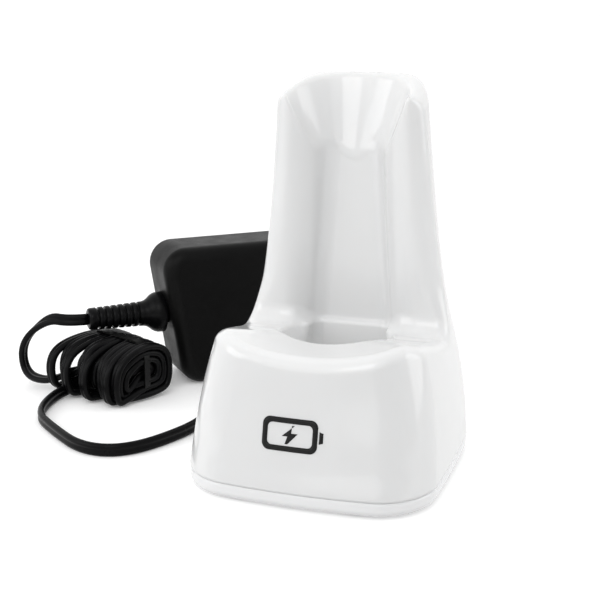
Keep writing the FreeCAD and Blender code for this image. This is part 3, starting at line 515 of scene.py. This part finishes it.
# Turns of the hank in the order they are wound: place from left (0) to right (1), how far the near end
# sticks out, and how much it hangs, layer by layer from the outside in.
OUTER = [(0.12, 2.5, 0), (0.22, 5.0, -2.2), (0.43, 1.0, 1.0), (0.52, 4.0, -2.4), (0.73, 0.4, 0),
         (0.87, 2.0, -0.8), (1.0, 0, 0)]
MIDDLE = [(0.98, 0.2, 0), (0.86, 1.0, 0.3), (0.73, 0.2, -0.2), (0.6, 1.8, 0.8), (0.33, 3.4, -0.6)]
CORE = [(0.74, 0.2, 0), (0.87, 0.6, 0), (0.98, 0.2, 0)]
HEART = [(0.92, 0.2, 0)]
LAST = [(0.0, 5.5, -1.0)]


def turn_points(place, out, hang, layer):
    """One turn as points round a standing oval, from the middle of its underside."""
    near = HANK_NEAR[0] + (HANK_NEAR[1] - HANK_NEAR[0]) * place
    far = HANK_FAR[0] + (HANK_FAR[1] - HANK_FAR[0]) * place
    length = np.linalg.norm(far - near)
    run = (far - near) / length
    middle = (near + far - run * out) / 2
    reach = (length + out) / 2 - LAYER * layer
    rise = HANK_RISE - LAYER * layer
    points = []
    for i in range(TURN_POINTS):
        angle = -math.pi / 2 + 2 * math.pi * i / TURN_POINTS
        square = 0.75 if math.sin(angle) > 0 else 0.5      # rounder above than on the table
        along = math.copysign(abs(math.cos(angle)) ** square, math.cos(angle))
        up = math.copysign(abs(math.sin(angle)) ** square, math.sin(angle))
        spot = middle + run * reach * along
        near_end = max(0.0, -along)
        height = HANK_MIDDLE + rise * up + near_end * (hang - DROOP * place)
        points.append((spot[0], spot[1], max(height, HANK_MIDDLE - HANK_RISE)))
    return points


def hank_points():
    """The hank's points, turn by turn, each turn leaning towards the next near its end."""
    layers = enumerate((OUTER, MIDDLE, CORE, HEART))
    turns = [(turn, layer) for layer, row in layers for turn in row]
    turns += [(turn, 0) for turn in LAST]
    points = [HANK_START]
    for i, ((place, out, hang), layer) in enumerate(turns):
        after = turns[min(i + 1, len(turns) - 1)][0][0]
        for k, spot in enumerate(turn_points(place, out, hang, layer)):
            drift = (after - place) * max(0.0, k - TURN_POINTS * 0.6) / (TURN_POINTS * 0.4) * 0.5
            aside = (HANK_NEAR[1] - HANK_NEAR[0]) * drift
            points.append((spot[0] + aside[0], spot[1] + aside[1], spot[2]))
    return points


def route_line(points):
    """Points along one smooth NURBS line through the route, read from the curve itself."""
    curve = bpy.data.curves.new("lead_line", "CURVE")
    curve.dimensions = "3D"
    line = curve.splines.new("NURBS")
    line.points.add(len(points) - 1)
    for spot, p in zip(line.points, points):
        spot.co = (p[0] * MM, p[1] * MM, p[2] * MM, 1)
    line.order_u = 3
    line.use_endpoint_u = True
    line.resolution_u = 8
    obj = bpy.data.objects.new("lead_line", curve)
    bpy.context.scene.collection.objects.link(obj)
    bpy.context.view_layer.update()
    mesh = bpy.data.meshes.new_from_object(obj)
    path = np.array([v.co[:] for v in mesh.vertices])
    bpy.data.objects.remove(obj)
    bpy.data.curves.remove(curve)
    bpy.data.meshes.remove(mesh)
    keep = np.concatenate([[True], np.linalg.norm(np.diff(path, axis=0), axis=1) > 1e-7])
    return path[keep]


def lead_section():
    """Flat twin cable as (thin, wide) points: two round cores side by side with a groove between them."""
    radius = CORD_THIN / 2
    centre = CORD_WIDE / 2 - radius
    section = []
    for side in (1, -1):
        for i in range(11):
            angle = math.radians(-115 + 23 * i)
            section.append((side * radius * math.sin(angle), side * (centre + radius * math.cos(angle))))
        section.append((side * 0.62 * radius, 0.0))
    return section


def hints_along(count, points_and_hints):
    """The wide way of the cable at each point of the line, from hints given with the route's points."""
    hints = np.array([h for _, h in points_and_hints], float)
    place = np.linspace(0, len(hints) - 1, count)
    low = np.minimum(place.astype(int), len(hints) - 2)
    share = (place - low)[:, None]
    return hints[low] * (1 - share) + hints[low + 1] * share


def sweep(name, path, section, hints):
    """A tube of the given (thin, wide) section along a path, closed at both ends."""
    tangent = np.gradient(path, axis=0)
    tangent /= np.linalg.norm(tangent, axis=1, keepdims=True)
    wide = hints - (hints * tangent).sum(1, keepdims=True) * tangent
    wide /= np.linalg.norm(wide, axis=1, keepdims=True)
    thin = np.cross(wide, tangent)
    verts = []
    for p, n, w in zip(path, thin, wide):
        verts += [p + (n * a + w * b) * MM for a, b in section]
    m = len(section)
    faces = []
    for i in range(len(path) - 1):
        for k in range(m):
            faces.append((i * m + k, i * m + (k + 1) % m, (i + 1) * m + (k + 1) % m, (i + 1) * m + k))
    faces.append(tuple(range(m))[::-1])
    faces.append(tuple((len(path) - 1) * m + k for k in range(m)))
    obj = new_piece(name, verts, faces)
    tidy_faces(obj)
    return obj


UP = (0, 0, 1)
STACK = (0.87, -0.5, 0)             # the way the hank's turns lie side by side
BACK_HINTS = [STACK, (0.6, -0.8, 0), (0, 1, 0), (0, 1, 0.1), (0, 1, 0), (0.1, 0.9, 0.3), (-0.2, 0.3, 1), UP]


def build_lead():
    """The whole lead as one flat cable. Its wide way stands up on the table and lies across in the hank."""
    route = [(p, UP) for p in ROUTE_FRONT]
    route += [(p, STACK) for p in hank_points()]
    route += list(zip(ROUTE_BACK, BACK_HINTS))
    path = route_line([p for p, _ in route])
    lead = sweep("lead_cable", path, lead_section(), hints_along(len(path), route))
    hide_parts("cord_lead_front", "cord_hank", "cord_lead_back")
    return lead, path


def lathe(name, profile, place, rotation, segments=72, body="stand"):
    """Turns a list of (along, radius) points round the +X axis, then stands it in place."""
    verts, faces = [], []
    for along, radius in profile:
        for k in range(segments):
            angle = 2 * math.pi * k / segments
            verts.append(Vector((along, radius * math.cos(angle), radius * math.sin(angle))) * MM)
    for i in range(len(profile) - 1):
        for k in range(segments):
            a, b = i * segments + k, i * segments + (k + 1) % segments
            faces.append((a, b, b + segments, a + segments))
    verts = [rotation @ v + Vector(place) * MM for v in verts]
    faces.append(tuple(range(segments))[::-1])
    faces.append(tuple((len(profile) - 1) * segments + k for k in range(segments)))
    obj = new_piece(name, verts, faces, body)
    tidy_faces(obj)
    obj.data.set_sharp_from_angle(angle=math.radians(40))
    return obj


ADAPTER_PLACE = (-99.2, 63.9, 0.0)
ADAPTER_TURN = Matrix.Rotation(math.radians(42), 3, "Z")
RELIEF_LEVEL = 29.5


def on_adapter(along, across, up):
    return ADAPTER_TURN @ Vector((along, across, up)) + Vector(ADAPTER_PLACE)


def relief_profile():
    """Tapered sleeve with seven narrow grooves, then a wide smooth collar against the case."""
    profile = [(-26.0, 1.4), (-26.0, 3.7), (-25.7, 4.25), (-25.1, 4.5)]
    for i in range(7):
        start = -22.6 + 2.8 * i
        radius = 4.6 + 0.5 * i / 6
        profile += [(start - 0.3, radius), (start - 0.05, radius - 0.15), (start, radius - 1.0),
                    (start + 0.85, radius - 1.0), (start + 0.9, radius - 0.15), (start + 1.15, radius)]
    profile += [(-3.2, 5.15), (-1.8, 5.5), (-0.6, 6.3), (0.4, 7.2), (1.4, 7.85), (2.6, 8.3), (5.2, 8.45),
                (5.45, 8.3), (5.5, 7.8), (5.5, 5.0), (10.5, 5.0), (10.5, 1.4)]
    return profile


def build_relief():
    relief = lathe("strain_relief_sleeve", relief_profile(), on_adapter(0, 0, RELIEF_LEVEL), ADAPTER_TURN)
    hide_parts("adapter_strain_relief")
    return relief


def grip_profile():
    profile = [(44.7, 1.4), (44.7, 4.0), (45.0, 4.35), (45.6, 4.45), (46.2, 4.8), (46.8, 4.9), (54.4, 4.9),
               (55.4, 4.7), (56.2, 4.2)]
    for i in range(5):
        start = 57.4 + 2.4 * i
        radius = 3.95 - 0.2 * i
        profile += [(start - 0.5, radius), (start, radius - 0.15), (start + 0.1, radius - 0.9),
                    (start + 0.8, radius - 0.9), (start + 0.9, radius - 0.2), (start + 1.3, radius - 0.05)]
    profile += [(69.4, 3.05), (69.9, 2.8), (70.0, 2.4), (70.0, 1.2)]
    return profile


def build_plug():
    grip = lathe("plug_boot", grip_profile(), (0, 0, SOCKET_LEVEL), Matrix.Rotation(math.radians(90), 3, "Z"))
    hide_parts("plug_grip")
    return grip


# ---------------------------------------------------------------- contact springs

SPRING_WIRE, SPRING_TURNS, SPRING_STEPS = 0.4, 6.5, 26


def build_spring(side):
    """A contact's coil spring with closed end turns."""
    node = "contact_spring_" + side
    low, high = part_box(node)
    middle, height = (low + high) / 2, high.z - low.z
    wire = SPRING_WIRE * MM
    radius = (high.x - low.x - wire) / 2
    turn = np.linspace(0, SPRING_TURNS, int(SPRING_TURNS * SPRING_STEPS) + 1)
    rise = np.interp(turn, [0, 1, SPRING_TURNS - 1, SPRING_TURNS],
                     [0, wire, height - 2 * wire, height - wire])
    outward = np.stack([np.cos(2 * math.pi * turn), np.sin(2 * math.pi * turn), 0 * turn], 1)
    path = outward * radius + (middle.x, middle.y, low.z + wire / 2)
    path[:, 2] += rise
    section = [(SPRING_WIRE / 2 * math.sin(a), SPRING_WIRE / 2 * math.cos(a)) for a in np.linspace(0, 5.6, 9)]
    spring = sweep(side + "_contact_coil", path, section, outward)
    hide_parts(node)
    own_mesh(spring)
    return spring


# ---------------------------------------------------------------- materials

def material(name, colour, roughness, metallic=0.0, coat=0.0, specular=0.5):
    mat = bpy.data.materials.new(name)
    mat.use_nodes = True
    shader = mat.node_tree.nodes["Principled BSDF"]
    shader.inputs["Base Color"].default_value = (*colour, 1)
    shader.inputs["Roughness"].default_value = roughness
    shader.inputs["Metallic"].default_value = metallic
    shader.inputs["Coat Weight"].default_value = coat
    shader.inputs["Coat Roughness"].default_value = 0.06
    shader.inputs["Specular IOR Level"].default_value = specular
    return mat, mat.node_tree, shader


def noise(tree, scale, detail=3.0, stretch=None):
    """Noise over object space, in features per metre."""
    coord = tree.nodes.new("ShaderNodeTexCoord")
    node = tree.nodes.new("ShaderNodeTexNoise")
    node.inputs["Scale"].default_value = scale
    node.inputs["Detail"].default_value = detail
    if stretch:
        mapping = tree.nodes.new("ShaderNodeMapping")
        mapping.inputs["Scale"].default_value = stretch
        tree.links.new(coord.outputs["Object"], mapping.inputs["Vector"])
        tree.links.new(mapping.outputs["Vector"], node.inputs["Vector"])
    else:
        tree.links.new(coord.outputs["Object"], node.inputs["Vector"])
    return node.outputs["Fac"]


def ramp(tree, factor, low, high, start=0.3, end=0.7):
    node = tree.nodes.new("ShaderNodeValToRGB")
    node.color_ramp.elements[0].position = start
    node.color_ramp.elements[1].position = end
    node.color_ramp.elements[0].color = (*low, 1)
    node.color_ramp.elements[1].color = (*high, 1)
    tree.links.new(factor, node.inputs["Fac"])
    return node.outputs["Color"]


def bump(tree, shader, height, strength, distance):
    node = tree.nodes.new("ShaderNodeBump")
    node.inputs["Strength"].default_value = strength
    node.inputs["Distance"].default_value = distance
    tree.links.new(height, node.inputs["Height"])
    tree.links.new(node.outputs["Normal"], shader.inputs["Normal"])


def vary(tree, shader, colour, spread, scale, roughness, rough_spread):
    """Slight cloudiness of colour and of gloss."""
    dark = tuple(c * (1 - spread) for c in colour)
    light = tuple(min(1, c * (1 + spread)) for c in colour)
    tree.links.new(ramp(tree, noise(tree, scale), dark, light), shader.inputs["Base Color"])
    low, high = roughness - rough_spread, roughness + rough_spread
    gloss = ramp(tree, noise(tree, scale * 2.3, 5), (low,) * 3, (high,) * 3)
    tree.links.new(gloss, shader.inputs["Roughness"])


def gloss_plastic(name, colour, roughness, coat=0.3):
    mat, tree, shader = material(name, colour, roughness, coat=coat)
    vary(tree, shader, colour, 0.012, 35, roughness, 0.03)
    bump(tree, shader, noise(tree, 900, 2), 0.035, 0.00012)
    shader.inputs["Subsurface Weight"].default_value = 0.3
    shader.inputs["Subsurface Radius"].default_value = (1.0, 0.95, 0.9)
    shader.inputs["Subsurface Scale"].default_value = 0.004
    return mat


def grained_plastic(name, colour, roughness, scale=2600, strength=0.5, depth=0.00012, specular=0.5):
    mat, tree, shader = material(name, colour, roughness, specular=specular)
    vary(tree, shader, colour, 0.12, 60, roughness, 0.05)
    bump(tree, shader, noise(tree, scale, 4), strength, depth)
    return mat


def metal(name, colour, roughness, stretch=(1, 1, 30)):
    mat, tree, shader = material(name, colour, roughness, metallic=1.0)
    vary(tree, shader, colour, 0.05, 90, roughness, 0.05)
    bump(tree, shader, noise(tree, 700, 3, stretch), 0.15, 0.00005)
    return mat


def wound(name, colour):
    """Enamelled wire wound in close turns, with painted shade darkening the grooves between the turns."""
    mat, tree, shader = material(name, colour, 0.32, metallic=0.8)
    coord = tree.nodes.new("ShaderNodeTexCoord")
    wave = tree.nodes.new("ShaderNodeTexWave")
    wave.bands_direction = "Z"
    wave.inputs["Scale"].default_value = 700
    wave.inputs["Distortion"].default_value = 0.4
    tree.links.new(coord.outputs["Object"], wave.inputs["Vector"])
    # painted shade: the colour drops to 0.45 where the wave sinks the bump, in the grooves between the turns
    dark = tuple(c * 0.45 for c in colour)
    tree.links.new(ramp(tree, wave.outputs["Fac"], dark, colour), shader.inputs["Base Color"])
    bump(tree, shader, wave.outputs["Fac"], 0.6, 0.0002)
    return mat


def board_green(name):
    """Solder mask with faint tracks."""
    mat, tree, shader = material(name, (0.03, 0.18, 0.08), 0.3)
    coord = tree.nodes.new("ShaderNodeTexCoord")
    brick = tree.nodes.new("ShaderNodeTexBrick")
    brick.inputs["Scale"].default_value = 160
    brick.inputs["Mortar Size"].default_value = 0.03
    brick.inputs["Color1"].default_value = (0.02, 0.16, 0.07, 1)
    brick.inputs["Color2"].default_value = (0.03, 0.20, 0.09, 1)
    brick.inputs["Mortar"].default_value = (0.06, 0.33, 0.15, 1)
    tree.links.new(coord.outputs["Object"], brick.inputs["Vector"])
    tree.links.new(brick.outputs["Color"], shader.inputs["Base Color"])
    bump(tree, shader, brick.outputs["Fac"], 0.3, 0.00005)
    return mat


MATERIALS = {
    "white_shell": gloss_plastic("white_gloss", (0.74, 0.742, 0.742), 0.12, 0.22),
    "white_plate": gloss_plastic("white_satin", (0.80, 0.802, 0.806), 0.2, 0.3),
    "rubber": grained_plastic("foot_rubber", (0.03, 0.03, 0.03), 0.75, 1500, 0.5),
    "label": grained_plastic("label_film", (0.72, 0.72, 0.70), 0.5, 1800, 0.1),
    "steel": metal("machined_steel", (0.56, 0.56, 0.58), 0.35, (30, 1, 1)),
    "zinc": metal("bright_plating", (0.74, 0.74, 0.75), 0.2),
    "board": board_green("solder_mask"),
    "black_plastic": grained_plastic("black_grained", (0.003, 0.003, 0.003), 0.4, 2300, 0.5, specular=0.09),
    "copper": wound("enamelled_wire", (0.55, 0.25, 0.1)),
    "sleeve": grained_plastic("blue_sleeve", (0.04, 0.07, 0.16), 0.3, 900, 0.05),
    "gold": metal("gold_plating", (0.83, 0.62, 0.27), 0.18),
    "natural": grained_plastic("natural_nylon", (0.75, 0.73, 0.65), 0.4, 1200, 0.1),
    "cord": grained_plastic("soft_black_vinyl", (0.003, 0.003, 0.0033), 0.3, 1400, 0.1, specular=0.09),
    "aluminium": metal("extruded_aluminium", (0.68, 0.69, 0.71), 0.32, (1, 30, 1)),
    "mark": grained_plastic("printed_ink", (0.006, 0.006, 0.006), 0.35, 1800, 0.05, specular=0.2),
    "tie": grained_plastic("tie_plastic", (0.004, 0.004, 0.004), 0.4, 1500, 0.2, specular=0.15),
}


def dress(obj, mat):
    obj.data.materials.clear()
    obj.data.materials.append(mat)


def dress_frame():
    """Every CAD node shown takes the material of its slot in the record."""
    for part in frame["record"]["subparts"]:
        node = NODES[part["node"]]
        dress(node, MATERIALS[part["material_slot"]])
        node.data.shade_smooth()
        node.data.set_sharp_from_angle(angle=math.radians(35))


# ---------------------------------------------------------------- surroundings

FLOOR_REACH = 12                    # metres, so that its edges are never in view
LIGHT_AIM = (0, 0, 0.06)
ROOM_FRONT, ROOM_BACK, ROOM_BELOW = 0.37, 1.14, 0.76

# Soft lights: name, direction, distance, size and radiance.
SOFT_BOXES = [("left_window", (-0.78, -0.51, 0.37), 0.75, (0.6, 0.45), 2.1),
              ("front_box", (0.05, -0.76, 0.65), 0.8, (0.42, 0.4), 2.2),
              ("top_box", (-0.25, 0.0, 0.95), 0.8, (0.3, 0.3), 0.5),
              ("right_box", (0.95, 0.3, 0.3), 0.8, (0.5, 0.5), 1.5)]


def build_floor():
    mesh = bpy.data.meshes.new("floor")
    reach = FLOOR_REACH
    corners = [(-reach, -reach, 0), (reach, -reach, 0), (reach, reach, 0), (-reach, reach, 0)]
    mesh.from_pydata(corners, [], [(0, 1, 2, 3)])
    floor = bpy.data.objects.new("floor", mesh)
    bpy.context.scene.collection.objects.link(floor)
    mat, _, shader = material("pale_floor", (0.94, 0.94, 0.94), 0.8, specular=0.1)
    shader.inputs["Emission Color"].default_value = (1, 1, 1, 1)
    shader.inputs["Emission Strength"].default_value = 0.12
    dress(floor, mat)
    floor.visible_diffuse = False       # the lower half of the world stands in for its light on the object


def soft_box(name, direction, distance, size, radiance):
    """A rectangular soft light that looks at the object; radiance is what a mirror would show of it."""
    light = bpy.data.lights.new(name, "AREA")
    light.shape = "RECTANGLE"
    light.size, light.size_y = size
    light.energy = radiance * math.pi * size[0] * size[1]
    towards = Vector(direction).normalized()
    obj = bpy.data.objects.new(name, light)
    obj.location = Vector(LIGHT_AIM) + towards * distance
    obj.rotation_euler = (-towards).to_track_quat("-Z", "Y").to_euler()
    bpy.context.scene.collection.objects.link(obj)


def map_range(tree, value, start, end, low, high):
    """A smooth step from low to high, either of which may be a number or a socket."""
    node = tree.nodes.new("ShaderNodeMapRange")
    node.interpolation_type = "SMOOTHSTEP"
    tree.links.new(value, node.inputs["Value"])
    node.inputs["From Min"].default_value = start
    node.inputs["From Max"].default_value = end
    for name, limit in (("To Min", low), ("To Max", high)):
        if isinstance(limit, float):
            node.inputs[name].default_value = limit
        else:
            tree.links.new(limit, node.inputs[name])
    return node.outputs["Result"]


def build_world():
    """A white backdrop behind and beside the object, a darker room in front, and a dim lower half."""
    world = bpy.data.worlds.new("studio")
    world.use_nodes = True
    tree = world.node_tree
    background = tree.nodes["Background"]
    background.inputs["Color"].default_value = (1, 1, 1, 1)
    coord = tree.nodes.new("ShaderNodeTexCoord")
    split = tree.nodes.new("ShaderNodeSeparateXYZ")
    tree.links.new(coord.outputs["Generated"], split.inputs["Vector"])
    room = map_range(tree, split.outputs["Y"], -0.9, 0.75, ROOM_FRONT, ROOM_BACK)
    tree.links.new(map_range(tree, split.outputs["Z"], -0.25, 0.05, ROOM_BELOW, room),
                   background.inputs["Strength"])
    bpy.context.scene.world = world


def build_light():
    """A very wide soft light from the upper front, the soft boxes and the room."""
    build_world()
    light = bpy.data.lights.new("upper_front", "SUN")
    light.energy, light.angle = 0.8, math.radians(70)
    sun = bpy.data.objects.new("upper_front", light)
    sun.rotation_euler = (math.radians(50), 0, math.radians(4))
    bpy.context.scene.collection.objects.link(sun)
    for values in SOFT_BOXES:
        soft_box(*values)
    bpy.context.scene.view_settings.view_transform = "Standard"


def build_camera():
    """72 mm lens, looking down a little from the stand's right-hand front."""
    data = bpy.data.cameras.new("camera")
    data.lens, data.sensor_width = 72, 36
    camera = bpy.data.objects.new("camera", data)
    azimuth, elevation, distance = math.radians(18.675), math.radians(14.553), 0.40942
    target = Vector((-0.012232, 0.0023, 0.057326))
    back = Vector((math.sin(azimuth) * math.cos(elevation), -math.cos(azimuth) * math.cos(elevation),
                   math.sin(elevation)))
    camera.location = target + back * distance
    camera.rotation_euler = (-back).to_track_quat("-Z", "Y").to_euler()
    bpy.context.scene.collection.objects.link(camera)
    bpy.context.scene.camera = camera


# ---------------------------------------------------------------- build

build_camera()
build_floor()
build_light()
dress_frame()
shell, plate = build_stand()
dress(shell, MATERIALS["white_shell"])
dress(plate, MATERIALS["white_plate"])
mark = build_mark()
dress(mark, MATERIALS["mark"])
lead, lead_path = build_lead()
relief = build_relief()
grip = build_plug()
for soft in (lead, relief, grip):
    dress(soft, MATERIALS["cord"])
for side in ("left", "right"):
    dress(build_spring(side), MATERIALS["steel"])
